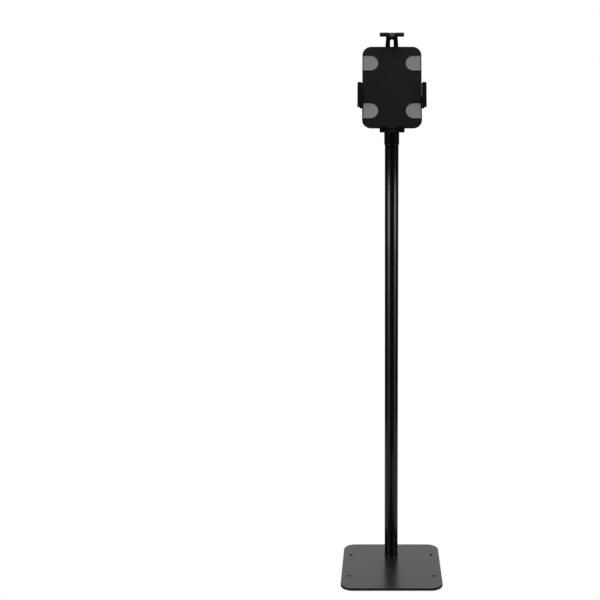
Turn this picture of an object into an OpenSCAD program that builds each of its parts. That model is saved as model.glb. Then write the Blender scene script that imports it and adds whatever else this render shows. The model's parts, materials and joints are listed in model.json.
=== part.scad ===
// Adjustable tablet floor stand: flat base, straight pole, tilting and turning
// holder with four sliding hook arms. The front of the stand faces -Y, and the
// origin is the centre of the base's footprint on the floor.

/* [Base plate] */
// Width of the base plate
base_w = 236; // [200:1:320]
// Depth of the base plate
base_d = 236; // [200:1:320]
// Thickness of the base plate
base_t = 6; // [5.5:0.5:10]
// Corner radius of the base plate
base_corner_r = 28; // [10:1:34]
// Chamfer round the base plate's top edge
base_chamfer = 0.8; // [0.3:0.1:2]
// Distance from the base's back edge to the pole's axis
pole_setback = 62; // [45:1:100]
// Diameter of the two floor anchor holes
anchor_hole_d = 8; // [5:0.5:12]
// Distance from the base's side edge to an anchor hole's centre
anchor_inset = 19; // [14:1:40]
// Diameter of a rubber foot
foot_d = 20; // [12:1:26]
// Height of a rubber foot under the plate
foot_t = 1.5; // [1:0.5:4]
// Distance from both plate edges to a foot's centre
foot_inset = 30; // [24:1:45]
// Thread diameter of the bolt that holds the pole to the base
base_bolt_d = 10; // [8:1:12]
// Head diameter of that countersunk bolt
base_bolt_head_d = 19; // [17:0.5:20]
// Length of that bolt
base_bolt_len = 26; // [20:1:30]

/* [Pole] */
// Outer diameter of the pole
pole_d = 32; // [28:0.5:38]
// Wall thickness of the pole
pole_wall = 1.5; // [1:0.1:3]
// Length of the pole
pole_len = 1058; // [600:1:1300]
// Length of the threaded plug in each end of the pole
plug_len = 28; // [22:1:45]
// Width of the weld bead round the pole's foot
weld_w = 1.6; // [0.8:0.1:3]
// Height of the weld bead
weld_h = 2.4; // [1:0.1:4]

/* [Head sleeve and tilt hinge] */
// Wall thickness of the sleeve on the pole's top
sleeve_wall = 1.4; // [1:0.1:3]
// Length of the sleeve
sleeve_len = 58; // [40:1:80]
// Thread diameter of the sleeve's set screws
set_screw_d = 5; // [4:1:6]
// Diameter of the boss round a set screw
set_boss_d = 11; // [9:0.5:14]
// How far the boss stands out from the sleeve
set_boss_h = 4; // [3:0.5:6]
// Thickness of the yoke's floor and ears
yoke_t = 5; // [3:0.5:7]
// Width of the yoke's ears, front to back
yoke_ear_w = 34; // [28:1:38]
// Gap between the yoke's ears
yoke_gap = 26; // [22:0.5:32]
// Height of the tilt axis above the yoke's floor
hinge_rise = 42.3; // [36:0.1:60]
// Thread diameter of the bolt through the yoke's floor
yoke_bolt_d = 8; // [6:1:10]
// Diameter of the tilt bolt
tilt_bolt_d = 8; // [6:0.5:10]
// Thickness of a friction washer in the hinge
tilt_washer_t = 1.2; // [0.8:0.1:2]
// Diameter of the knuckle's barrel
knuckle_d = 30; // [24:1:34]
// Width of the knuckle's neck
neck_w = 20; // [14:1:22]
// Height of the knuckle's neck
neck_h = 22; // [14:1:26]
// Backward tilt of the holder at rest, from upright
tilt_angle = 22; // [0:1:40]
// Distance from the tilt axis to the holder plate's front
holder_reach = 55; // [50:1:75]

/* [Swivel] */
// Diameter of the swivel flange
flange_d = 60; // [44:1:64]
// Thickness of the swivel flange
flange_t = 5; // [3:0.5:6]
// Thickness of the low-friction swivel ring
swivel_ring_t = 1; // [0.6:0.1:2]
// Diameter of the swivel stud
swivel_stud_d = 10; // [8:0.5:12]
// Outer diameter of the swivel bush
bush_d = 13; // [12.5:0.5:16]

/* [Holder plate and pads] */
// Width of the holder plate
plate_w = 132; // [128:1:136]
// Height of the holder plate
plate_h = 195.5; // [192:0.5:205]
// Thickness of the holder plate
plate_t = 2; // [1.5:0.1:3]
// Corner radius of the holder plate
plate_corner_r = 20; // [8:1:24]
// Height of a grip pad
pad_h = 35; // [24:1:40]
// Length of a grip pad, from its straight end to its round end
pad_len = 33; // [26:1:40]
// Thickness of a grip pad
pad_t = 1.2; // [0.8:0.1:2]
// Distance from the plate's side edge to a pad
pad_inset = 2.4; // [0.5:0.1:6]
// Distance from the plate's top or bottom edge to the centre of the pad next to it
pad_drop = 40.7; // [36:0.1:50]

/* [Rear housing] */
// Distance from the holder plate's edge to the housing's side
housing_inset = 7; // [4:0.5:7.5]
// Depth of the whole holder, from the plate's front to the housing's back
holder_depth = 20; // [19:0.5:26]
// Wall thickness of the housing's sides
housing_wall = 1.6; // [1:0.1:2]
// Wall thickness of the housing's back
housing_back_t = 2; // [1.5:0.1:3]
// Diameter of a housing post
post_d = 7; // [6:0.5:7.5]
// Thread diameter of a housing screw
housing_screw_d = 4; // [3:0.5:4]
// Distance from the plate's top or bottom edge to the housing post next to it
post_inset = 28.5; // [24:0.5:32]

/* [Sliding arms] */
// Sheet thickness of the arms
arm_t = 2; // [1.5:0.1:2.2]
// Inner radius of the arms' bends
bend_r = 1.5; // [0.5:0.1:2]
// Distance from the plate's front to the front of the lips
lip_front = 12; // [10:0.5:18]
// Width of the slots in the arms
slot_w = 7.5; // [6:0.1:8]
// Height of the side arms' strip
side_strip_h = 29; // [24:1:32]
// Drop of the side arms' centre line under the plate's centre
side_drop = 35.1; // [32:0.1:38]
// Height of the side hooks
side_hook_h = 56.1; // [40:0.1:70]
// Width of the side hooks' lips
side_lip_w = 10; // [7:0.2:14]
// Distance from the plate's side edge to the outside of the hook beside it
side_out = 10.4; // [9:0.1:14]
// Cut across the lower outer corner of a side arm
side_chamfer = 3.2; // [3:0.1:9]
// Width of the top and bottom hooks
end_hook_w = 54.8; // [48:0.2:70]
// Distance from the plate's top edge to the top of the hook over it, with its grips
top_out = 29.8; // [27.5:0.1:33.5]
// Height of the top hook's lip
top_lip_h = 8.4; // [7:0.1:14]
// Width of the top arm where it meets its hook
top_tip_w = 26.3; // [22:0.1:32]
// Length of the top arm's flat part
top_arm_len = 139.4; // [139:0.2:142]
// Distance from the plate's bottom edge to the bottom of the hook under it, with its grips
bottom_out = 8.8; // [5.5:0.1:9.5]
// Height of the bottom hook's lip
bottom_lip_h = 6; // [5.5:0.5:12]
// Width of the bottom arm where it meets its hook
bottom_tip_w = 36; // [30:0.5:38]
// Length of the bottom arm's flat part
bottom_arm_len = 72; // [70:0.2:74]
// Width that a tapered arm gains over each millimetre of its length
arm_taper = 0.15; // [0:0.01:0.16]
// Thickness of the rubber grips and liners
grip_t = 1; // [0.6:0.1:1.4]
// Half of the bare width between the two grips of a hook
grip_gap = 5.8; // [5.6:0.2:12]

/* [Guides and lock] */
// Diameter of a guide stud's shoulder
stud_d = 7; // [5.8:0.1:7.1]
// Thread diameter of a guide stud
stud_thread_d = 5; // [4:0.5:5.5]
// Distance from the plate's side edge to the guide stud next to it
side_stud_inset = 14; // [14:0.5:16]
// Distance from the plate's top or bottom edge to the guide stud next to it
end_stud_inset = 14.5; // [13.5:0.5:16]
// Distance between the two guide studs of an end arm
end_stud_gap = 10; // [9:0.5:11]
// Thickness of the clamp plate
clamp_t = 2; // [1.5:0.1:2.5]
// Width of a side rail
rail_w = 8; // [5:0.5:10]
// Outer diameter of the lock's barrel
lock_d = 18; // [16:0.5:19]
// Diameter of the lock's turning plug
lock_plug_d = 13; // [10:0.5:13.5]
// Drop of the lock under the plate's centre
lock_drop = 45; // [43:0.5:47]
// Length of the lock's cam from its axis
cam_len = 24; // [18:0.5:25]
// Width of the lock's cam
cam_w = 12; // [8:0.5:13]

/* [Hidden] */

$fn = 96;

// Clearances
seat = 0.05;      // round part in its hole, each side
slide_gap = 0.2;  // between sliding sheets
edge_gap = 0.3;   // between a sliding edge and its guide
wall_gap = 0.4;   // between the housing's wall and what stands beside it
over = 1;         // how far a cutting shape runs past a face

// Heights in the stand
set_screw_inset = 14;
plate_bottom_z = foot_t;
plate_top_z = foot_t + base_t;
pole_y = base_d / 2 - pole_setback;
pole_top_z = plate_top_z + pole_len;
pole_bore_d = pole_d - 2 * pole_wall;
sleeve_od = pole_d + 2 * seat + 2 * sleeve_wall;
yoke_top_z = pole_top_z + yoke_t;
hinge_z = yoke_top_z + hinge_rise;
knuckle_len = yoke_gap - 2 * tilt_washer_t - 4 * seat;
set_screw_heights = [pole_top_z - sleeve_len + set_screw_inset, pole_top_z - set_screw_inset];
countersink_h = (base_bolt_head_d - base_bolt_d) / 2;
screw_head_k = 1.6;
socket_wide = 6;
socket_small = 2.5;
cap_ratio = 1.625;
thread_out = 2;
plug_spare = 6;
post_screw_in = 8;

// Depths behind the holder plate's front: negative numbers lead to the back
side_front = -plate_t - slide_gap;
side_back = side_front - arm_t;
end_front = side_back - 2 * slide_gap;
end_back = end_front - arm_t;
clamp_front = end_back - 2 * slide_gap;
clamp_back = clamp_front - clamp_t;
housing_back = -holder_depth;
housing_floor = housing_back + housing_back_t;
flange_front = housing_back - swivel_ring_t - slide_gap;
flange_back = flange_front - flange_t;
bend_out = bend_r + arm_t;

// Outlines in the holder
pad_rise = plate_h / 2 - pad_drop;
post_rise = plate_h / 2 - post_inset;
side_reach = plate_w / 2 + side_out;
top_reach = plate_h / 2 + top_out;
bottom_reach = plate_h / 2 + bottom_out;
side_stud_x = plate_w / 2 - side_stud_inset;
end_stud_outer = plate_h / 2 - end_stud_inset;
end_stud_inner = end_stud_outer - end_stud_gap;
housing_w = plate_w - 2 * housing_inset;
housing_h = plate_h - 2 * housing_inset;
housing_r = plate_corner_r - 2;
post_x = housing_w / 2 - housing_wall - post_d / 2 - wall_gap;
pad_x = plate_w / 2 - pad_inset;
side_strip_end = 8.5;
slot_end_wall = 4.5;
side_slot_in = side_strip_end + slot_end_wall;
side_slot_out = side_reach - side_lip_w - wall_gap;
side_bottom = -side_drop - side_strip_h / 2;
top_steel = top_reach - grip_t;
bottom_steel = bottom_reach - grip_t;
end_steel_w = end_hook_w - 2 * grip_t;
end_slot_start = 7.7;
groove_rise = 9.8;
groove_w = 0.8;
groove_deep = 0.5;
cut_front = 2;
liner_end = 0.6;

// Rib in the middle of an end hook, between its grips
rib_w = 11;
rib_t = 0.8;

// Widths of the arms at the housing's rim
top_notch_w = top_tip_w + arm_taper * top_arm_len + 2 * edge_gap;
bottom_notch_w = bottom_tip_w + arm_taper * bottom_arm_len + 2 * edge_gap;

// Small fittings
nut_t = 4;
nut_flats = 8;
swivel_nut_t = 5;
swivel_nut_flats = 17;
swivel_washer_t = 1.6;
swivel_washer_d = 22;
bush_flange_d = 24;
bush_flange_t = 0.5;
lock_bezel_t = 3;
lock_bezel_d = lock_d + 4;
lock_nut_t = 2.5;
lock_nut_flats = lock_d + 4;
cam_t = 2;
clamp_r = 4;
clamp_h = housing_h - 2 * housing_wall - 4 * wall_gap;
cam_back = housing_floor + 4.5;
key_slot_w = 1.4;
key_slot_h = 8;
key_slot_deep = 5;
lip_tab_t = 2;
tab_h = 14;

// A flat slab with round corners and a chamfer round its top edge, standing on z = 0
module slab(w, d, t, r, c) {
    along_x = [[-d / 2, 0], [d / 2, 0], [d / 2, t - c], [d / 2 - c, t], [-d / 2 + c, t], [-d / 2, t - c]];
    along_y = [[-w / 2, 0], [w / 2, 0], [w / 2, t - c], [w / 2 - c, t], [-w / 2 + c, t], [-w / 2, t - c]];
    rotate([90, 0, 90]) linear_extrude(w - 2 * r, center = true) polygon(along_x);
    rotate([90, 0, 0]) linear_extrude(d - 2 * r, center = true) polygon(along_y);
    for (sx = [-1, 1], sy = [-1, 1])
        translate([sx * (w / 2 - r), sy * (d / 2 - r), 0])
            rotate_extrude() polygon([[0, 0], [r, 0], [r, t - c], [r - c, t], [0, t]]);
}

// A flat outline with round corners
module rounded_rect(w, d, r) {
    square([w - 2 * r, d], center = true);
    square([w, d - 2 * r], center = true);
    for (sx = [-1, 1], sy = [-1, 1])
        translate([sx * (w / 2 - r), sy * (d / 2 - r)]) circle(r);
}

// A flat outline with straight sides and a half-round at both ends, along x
module slot_outline(x0, x1, w) {
    translate([x0 + w / 2, -w / 2]) square([x1 - x0 - w, w]);
    translate([x0 + w / 2, 0]) circle(d = w);
    translate([x1 - w / 2, 0]) circle(d = w);
}

// A cylinder from z0 to z1
module rod(d, z0, z1) {
    translate([0, 0, z0]) cylinder(d = d, h = z1 - z0);
}

// A hexagonal bar from z0 to z1, flats apart
module hex_bar(flats, z0, z1) {
    translate([0, 0, z0]) cylinder(d = flats / cos(30), h = z1 - z0, $fn = 6);
}

// A hexagon nut with a round bore
module nut(flats, bore, z0, z1) {
    difference() {
        hex_bar(flats, z0, z1);
        rod(bore, z0 - over, z1 + over);
    }
}

// A ring from z0 to z1
module ring(od, id, z0, z1) {
    difference() {
        rod(od, z0, z1);
        rod(id, z0 - over, z1 + over);
    }
}

// Places a piece on the pole's axis
module on_pole() {
    translate([0, pole_y, 0]) children();
}

// Places a piece that is drawn with x along the tilt axis and z up from it
module at_hinge() {
    translate([0, pole_y, hinge_z]) children();
}

// Places a piece that is drawn in the holder: x across, y up the plate, z out of its front
module in_holder() {
    at_hinge() rotate([90 - tilt_angle, 0, 0]) translate([0, 0, holder_reach]) children();
}

// Base plate with its two anchor holes and the countersunk hole under the pole
module base_plate() {
    color("#2b2b2d")
    difference() {
        translate([0, 0, plate_bottom_z]) slab(base_w, base_d, base_t, base_corner_r, base_chamfer);
        for (sx = [-1, 1])
            translate([sx * (base_w / 2 - anchor_inset), pole_y, 0])
                rod(anchor_hole_d, plate_bottom_z - over, plate_top_z + over);
        on_pole() {
            rod(base_bolt_d + 2 * seat, plate_bottom_z - over, plate_top_z + over);
            translate([0, 0, plate_bottom_z])
                cylinder(d1 = base_bolt_head_d + 2 * slide_gap, d2 = base_bolt_d + 2 * slide_gap,
                    h = countersink_h);
        }
    }
}

// Four round rubber feet under the plate's corners
module rubber_feet() {
    color("#161616")
    for (sx = [-1, 1], sy = [-1, 1])
        translate([sx * (base_w / 2 - foot_inset), sy * (base_d / 2 - foot_inset), 0])
            rod(foot_d, 0, foot_t);
}

// Bead of weld round the pole's foot
module weld_bead() {
    color("#1c1c1d")
    on_pole() translate([0, 0, plate_top_z])
        rotate_extrude()
            polygon([[pole_d / 2, 0], [pole_d / 2 + weld_w, 0], [pole_d / 2 + weld_w * 0.75, weld_h * 0.6],
                [pole_d / 2, weld_h]]);
}

// Straight pole, a round steel tube
module pole() {
    color("#232324")
    on_pole() ring(pole_d, pole_bore_d, plate_top_z, pole_top_z);
}

// A threaded plug welded inside an end of the pole
module pole_plug(bore, z0, z1) {
    ring(pole_bore_d - 2 * seat, bore, z0, z1);
}

module pole_bottom_plug() {
    color("#8b8d90")
    on_pole() pole_plug(base_bolt_d + 2 * seat, plate_top_z, plate_top_z + plug_len);
}

module pole_top_plug() {
    color("#8b8d90")
    on_pole() pole_plug(yoke_bolt_d + 2 * seat, pole_top_z - plug_len, pole_top_z);
}

// Countersunk bolt from under the base into the bottom plug
module base_bolt() {
    color("#3a3a3c")
    on_pole() difference() {
        union() {
            translate([0, 0, plate_bottom_z])
                cylinder(d1 = base_bolt_head_d, d2 = base_bolt_d, h = countersink_h);
            rod(base_bolt_d, plate_bottom_z, plate_bottom_z + base_bolt_len);
        }
        hex_bar(socket_wide, plate_bottom_z - over, plate_bottom_z + countersink_h - over);
    }
}

// Sleeve that slips over the pole's top, with two bosses for set screws at the back
module head_sleeve() {
    color("#202021")
    on_pole() difference() {
        union() {
            rod(sleeve_od, pole_top_z - sleeve_len, pole_top_z);
            for (z = set_screw_heights)
                translate([0, 0, z]) rotate([-90, 0, 0]) rod(set_boss_d, 0, sleeve_od / 2 + set_boss_h);
        }
        rod(pole_d + 2 * seat, pole_top_z - sleeve_len - over, pole_top_z + over);
        for (z = set_screw_heights)
            translate([0, 0, z]) rotate([-90, 0, 0])
                rod(set_screw_d + 2 * seat, 0, sleeve_od / 2 + set_boss_h + over);
    }
}

// Two socket set screws that grip the pole
module sleeve_set_screws() {
    color("#3a3a3c")
    on_pole() for (z = set_screw_heights)
        translate([0, 0, z]) rotate([-90, 0, 0])
            difference() {
                rod(set_screw_d, pole_d / 2 + seat, sleeve_od / 2 + set_boss_h - 0.5);
                hex_bar(socket_small, sleeve_od / 2 + set_boss_h - 3, sleeve_od / 2 + set_boss_h + over);
            }
}

// Yoke on the pole's top: a floor with an ear at each side
module tilt_yoke() {
    ear_x = yoke_gap / 2;
    color("#262627")
    difference() {
        union() {
            translate([-ear_x - yoke_t, pole_y - yoke_ear_w / 2, pole_top_z])
                cube([yoke_gap + 2 * yoke_t, yoke_ear_w, yoke_t]);
            for (x = [-ear_x - yoke_t, ear_x]) {
                translate([x, pole_y - yoke_ear_w / 2, pole_top_z])
                    cube([yoke_t, yoke_ear_w, yoke_t + hinge_rise]);
                at_hinge() translate([x, 0, 0]) rotate([0, 90, 0]) rod(yoke_ear_w, 0, yoke_t);
            }
        }
        at_hinge() rotate([0, 90, 0])
            rod(tilt_bolt_d + 2 * seat, -ear_x - yoke_t - over, ear_x + yoke_t + over);
        on_pole() rod(yoke_bolt_d + 2 * seat, pole_top_z - over, yoke_top_z + over);
    }
}

// Cap screw from the yoke's floor down into the top plug
module yoke_bolt() {
    head_z = yoke_top_z;
    color("#3a3a3c")
    on_pole() difference() {
        union() {
            rod(yoke_bolt_d * cap_ratio, head_z, head_z + yoke_bolt_d);
            rod(yoke_bolt_d, pole_top_z - plug_len + plug_spare, head_z);
        }
        hex_bar(socket_wide, head_z + yoke_bolt_d / 2, head_z + yoke_bolt_d + over);
    }
}

// Tilt bolt with its socket head, across both ears
module tilt_bolt() {
    ear_out = yoke_gap / 2 + yoke_t;
    color("#3a3a3c")
    at_hinge() rotate([0, 90, 0]) difference() {
        union() {
            rod(tilt_bolt_d, -ear_out - tilt_bolt_d - thread_out, ear_out);
            rod(tilt_bolt_d * cap_ratio, ear_out, ear_out + tilt_bolt_d);
        }
        hex_bar(socket_wide, ear_out + tilt_bolt_d / 2, ear_out + tilt_bolt_d + over);
    }
}

// Locking nut on the tilt bolt
module tilt_nut() {
    ear_out = yoke_gap / 2 + yoke_t;
    color("#7d7f82")
    at_hinge() rotate([0, 90, 0])
        nut(tilt_bolt_d * cap_ratio, tilt_bolt_d + 2 * seat, -ear_out - tilt_bolt_d, -ear_out);
}

// Two friction washers between the ears and the knuckle
module tilt_washers() {
    color("#9a9488")
    at_hinge() rotate([0, 90, 0]) for (s = [-1, 1])
        translate([0, 0, s * (yoke_gap / 2 - seat - tilt_washer_t / 2)])
            ring(knuckle_d - 2, tilt_bolt_d + 2 * seat, -tilt_washer_t / 2, tilt_washer_t / 2);
}

// Knuckle: a barrel on the tilt bolt, a neck, and the round swivel flange
module tilt_knuckle() {
    color("#222223")
    difference() {
        union() {
            at_hinge() rotate([0, 90, 0]) rod(knuckle_d, -knuckle_len / 2, knuckle_len / 2);
            in_holder() {
                translate([-neck_w / 2, -neck_h / 2, -holder_reach])
                    cube([neck_w, neck_h, holder_reach + flange_back]);
                rod(flange_d, flange_back, flange_front);
            }
        }
        at_hinge() rotate([0, 90, 0]) rod(tilt_bolt_d + 2 * seat, -knuckle_len, knuckle_len);
        in_holder() rod(swivel_stud_d + 2 * seat, flange_back, flange_front + over);
    }
}

// Stud that stands out of the flange and carries the holder
module swivel_stud() {
    color("#8b8d90")
    in_holder() rod(swivel_stud_d, flange_back, clamp_back - 0.8);
}

// Low-friction ring between the flange and the housing
module swivel_ring() {
    color("#d8d4c8")
    in_holder() ring(flange_d - 4, bush_d + 2, flange_front + slide_gap / 2, housing_back - slide_gap / 2);
}

module swivel_washer() {
    z0 = housing_floor + bush_flange_t + slide_gap / 2;
    color("#8b8d90")
    in_holder() ring(swivel_washer_d, swivel_stud_d + 2 * seat, z0, z0 + swivel_washer_t);
}

module swivel_nut() {
    z0 = housing_floor + bush_flange_t + slide_gap / 2 + swivel_washer_t;
    color("#7d7f82")
    in_holder() nut(swivel_nut_flats, swivel_stud_d + 2 * seat, z0, z0 + swivel_nut_t);
}

// Bush in the housing's back, which turns round the stud
module swivel_bush() {
    color("#d8d4c8")
    in_holder() difference() {
        union() {
            rod(bush_d, housing_back, housing_floor);
            rod(bush_flange_d, housing_floor, housing_floor + bush_flange_t);
        }
        rod(swivel_stud_d + 2 * seat, housing_back - over, housing_floor + over);
    }
}

// Holder plate, flat sheet with round corners
module holder_plate() {
    color("#242425")
    in_holder() translate([0, 0, -plate_t]) slab(plate_w, plate_h, plate_t, plate_corner_r, 0.5);
}

// One D-shaped pad on the plate's front: sx and sy pick its corner
module grip_pad(sx, sy) {
    r = pad_h / 2;
    color("#7c7c7c")
    in_holder() translate([sx * pad_x, sy * pad_rise, 0]) mirror([sx > 0 ? 1 : 0, 0, 0])
        linear_extrude(pad_t) {
            translate([0, -r]) square([pad_len - r, pad_h]);
            translate([pad_len - r, 0]) circle(r);
        }
}

// Rear housing, a shallow tray with notches for the arms
module rear_housing() {
    color("#1f1f20")
    in_holder() difference() {
        translate([0, 0, housing_back]) linear_extrude(holder_depth - plate_t)
            rounded_rect(housing_w, housing_h, housing_r);
        translate([0, 0, housing_floor]) linear_extrude(holder_depth)
            rounded_rect(housing_w - 2 * housing_wall, housing_h - 2 * housing_wall,
                housing_r - housing_wall);
        translate([-plate_w / 2, -side_drop - side_strip_h / 2 - edge_gap, side_back - slide_gap])
            cube([plate_w, side_strip_h + 2 * edge_gap, holder_depth]);
        translate([-top_notch_w / 2, 0, end_back - slide_gap])
            cube([top_notch_w, plate_h / 2, holder_depth]);
        translate([-bottom_notch_w / 2, -plate_h / 2, end_back - slide_gap])
            cube([bottom_notch_w, plate_h / 2, holder_depth]);
        rod(bush_d + 2 * seat, housing_back - over, housing_floor + over);
        translate([0, -lock_drop, 0]) rod(lock_d + 2 * seat, housing_back - over, housing_floor + over);
        at_posts() rod(housing_screw_d + 2 * seat, housing_back - over, housing_floor + over);
    }
}

// Repeats a piece at the four housing posts
module at_posts() {
    for (sx = [-1, 1], sy = [-1, 1]) translate([sx * post_x, sy * post_rise, 0]) children();
}

// Posts on the plate's back that the housing is screwed to
module housing_posts() {
    color("#8b8d90")
    in_holder() at_posts() ring(post_d, housing_screw_d + 2 * seat, housing_floor, -plate_t);
}

// Pan-head screws from the back into the posts
module housing_screws() {
    color("#3a3a3c")
    in_holder() at_posts() difference() {
        union() {
            rod(housing_screw_d * 2, housing_back - screw_head_k, housing_back);
            rod(housing_screw_d, housing_back, housing_floor + post_screw_in);
        }
        hex_bar(socket_small, housing_back - screw_head_k - over, housing_back - 0.6);
    }
}

// Repeats a piece at every guide stud: one in each side arm, two in each end arm
module at_studs() {
    for (s = [-1, 1]) {
        translate([s * side_stud_x, -side_drop, 0]) children();
        for (y = [end_stud_outer, end_stud_inner]) translate([0, s * y, 0]) children();
    }
}

// Shouldered studs on the plate's back that the arms' slots run on
module guide_studs() {
    color("#8b8d90")
    in_holder() at_studs() {
        rod(stud_d, clamp_front, -plate_t);
        rod(stud_thread_d, clamp_back - nut_t - 0.6, clamp_front);
    }
}

// Nuts that hold the clamp plate on the studs
module stud_nuts() {
    color("#7d7f82")
    in_holder() at_studs() nut(nut_flats, stud_thread_d + 2 * seat, clamp_back - nut_t, clamp_back);
}

// Two rails that keep the side arms level
module side_rails() {
    color("#6f7174")
    in_holder() for (s = [-1, 1])
        translate([0, -side_drop + s * (side_strip_h / 2 + edge_gap + rail_w / 2), 0])
            translate([-housing_w / 2 + housing_wall + wall_gap, -rail_w / 2, side_back])
                cube([housing_w - 2 * housing_wall - 2 * wall_gap, rail_w, -plate_t - side_back]);
}

// Cross-shaped plate that clamps the arms, with the tab that the lock's cam hooks
module clamp_plate() {
    arm_w = housing_w - 2 * housing_wall - 4 * wall_gap;
    tab_x = cam_len + 1.5;
    lip_z = cam_back - slide_gap - lip_tab_t;
    color("#6f7174")
    in_holder() difference() {
        union() {
            translate([0, 0, clamp_back]) linear_extrude(clamp_t) {
                rounded_rect(end_hook_w, clamp_h, clamp_r);
                translate([0, -side_drop]) rounded_rect(arm_w, side_strip_h + 2 * rail_w + 2, clamp_r);
            }
            translate([tab_x, -lock_drop - tab_h / 2, lip_z]) cube([lip_tab_t, tab_h, clamp_back - lip_z]);
            translate([tab_x - 8, -lock_drop - tab_h / 2, lip_z]) cube([8, tab_h, lip_tab_t]);
        }
        at_studs() rod(stud_thread_d + 2 * seat, clamp_back - over, clamp_front + over);
    }
}

// Lock barrel with its bezel on the housing's back
module lock_barrel() {
    color("#a9abad")
    in_holder() translate([0, -lock_drop, 0]) difference() {
        union() {
            rod(lock_bezel_d, housing_back - lock_bezel_t, housing_back);
            rod(lock_d, housing_back, housing_floor + lock_nut_t + 0.5);
        }
        rod(lock_plug_d + 2 * seat, housing_back - lock_bezel_t - over, housing_floor + lock_nut_t + over);
    }
}

module lock_ring_nut() {
    color("#7d7f82")
    in_holder() translate([0, -lock_drop, 0])
        nut(lock_nut_flats, lock_d + 2 * seat, housing_floor, housing_floor + lock_nut_t);
}

// Turning plug of the lock with its keyway
module lock_plug() {
    front = housing_back - lock_bezel_t - 0.4;
    color("#b9bbbd")
    in_holder() translate([0, -lock_drop, 0]) difference() {
        rod(lock_plug_d, front, cam_back);
        translate([-key_slot_w / 2, -key_slot_h / 2, front - over])
            cube([key_slot_w, key_slot_h, key_slot_deep + over]);
    }
}

// Cam on the plug's inner end, hooked under the clamp plate's tab
module lock_cam() {
    color("#8b8d90")
    in_holder() translate([0, -lock_drop, cam_back]) linear_extrude(cam_t) difference() {
        union() {
            circle(d = cam_w);
            translate([0, -cam_w / 2]) square([cam_len - 2, cam_w]);
            translate([0, -cam_w / 2 + 2]) square([cam_len, cam_w - 4]);
        }
        circle(d = 4 + 2 * seat);
    }
}

// Screw that holds the cam to the plug
module cam_screw() {
    color("#3a3a3c")
    in_holder() translate([0, -lock_drop, 0]) {
        rod(4, cam_back, cam_back + cam_t);
        rod(7, cam_back + cam_t, cam_back + cam_t + screw_head_k);
    }
}

// Quarter of a flat ring round the origin, where v is positive and u has the sign of side
module quarter_band(r0, r1, side) {
    difference() {
        intersection() {
            circle(r1);
            translate([side > 0 ? 0 : -r1, 0]) square(r1);
        }
        circle(r0);
    }
}

// Side view of a hook's sheet between two offsets from its inner face, with u out of
// the plate and v away from its centre: web, outer bend and lip, the web's outside at v = 0
module hook_band(back, lip, inner, outer) {
    u0 = back + bend_out;
    u1 = lip_front - bend_out;
    translate([u0, -arm_t + inner]) square([u1 - u0, outer - inner]);
    translate([u1, -bend_out]) quarter_band(bend_r + inner, bend_r + outer, 1);
    translate([lip_front - arm_t + inner, -lip]) square([outer - inner, lip - bend_out]);
}

// Side view of the bend between an arm's flat part and its web
module root_bend(back) {
    translate([back + bend_out, -bend_out]) quarter_band(bend_r, bend_out, -1);
}

// Turns a side view into a solid across an end arm, from x0 to x1
module across(x0, x1) {
    translate([x1, 0, 0]) rotate([0, -90, 0]) linear_extrude(x1 - x0) children();
}

// Turns a side view into a solid along a side arm's height, from y0 to y1
module along(y0, y1) {
    translate([0, y0, 0]) rotate([-90, 0, 0]) rotate([0, 0, -90]) linear_extrude(y1 - y0) children();
}

// Tapered flat part of an end arm below y = 0, with its slot
module tapered_strip(tip_w, len) {
    end_w = tip_w + arm_taper * len;
    difference() {
        polygon([[-tip_w / 2, -bend_out], [tip_w / 2, -bend_out], [end_w / 2, -len], [-end_w / 2, -len]]);
        rotate(-90) slot_outline(end_slot_start, len - slot_end_wall, slot_w);
    }
}

// An end arm with its tip at y = 0: slotted strip, bend, wide web and lip, and a raised rib
module end_arm(tip_w, len, lip) {
    half_w = end_steel_w / 2;
    translate([0, 0, end_back]) linear_extrude(arm_t) tapered_strip(tip_w, len);
    across(-tip_w / 2, tip_w / 2) root_bend(end_back);
    across(-half_w, half_w) hook_band(end_back, lip, 0, arm_t);
    across(-rib_w / 2, rib_w / 2) hook_band(end_back, lip - rib_t, arm_t, arm_t + rib_t);
}

// One rubber grip over the web and lip of an end hook, on the side of positive x
module end_grip(lip) {
    x0 = grip_gap;
    x1 = end_hook_w / 2;
    difference() {
        across(x0, x1) {
            hook_band(end_back, lip, -grip_t, arm_t + grip_t);
            translate([lip_front - arm_t - grip_t, -lip - grip_t])
                square([arm_t + 2 * grip_t, grip_t + seat]);
        }
        across(x0 - over, end_steel_w / 2 + seat) {
            hook_band(end_back, lip, -seat, arm_t + seat);
            translate([lip_front - arm_t - seat, -lip - seat]) square([arm_t + 2 * seat, 2 * seat]);
        }
    }
}

// Places a piece that is drawn with an arm's tip at y = 0 on the top hook
module at_top_tip() {
    in_holder() translate([0, top_steel, 0]) children();
}

// Places a piece that is drawn with an arm's tip at y = 0 on the bottom hook
module at_bottom_tip() {
    in_holder() mirror([0, 1, 0]) translate([0, bottom_steel, 0]) children();
}

module top_arm() {
    color("#1d1d1e") at_top_tip() end_arm(top_tip_w, top_arm_len, top_lip_h);
}

module bottom_arm() {
    color("#1d1d1e") at_bottom_tip() end_arm(bottom_tip_w, bottom_arm_len, bottom_lip_h);
}

module top_grip(side) {
    color("#121212") at_top_tip() mirror([side > 0 ? 0 : 1, 0, 0]) end_grip(top_lip_h);
}

module bottom_grip(side) {
    color("#121212") at_bottom_tip() mirror([side > 0 ? 0 : 1, 0, 0]) end_grip(bottom_lip_h);
}

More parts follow.
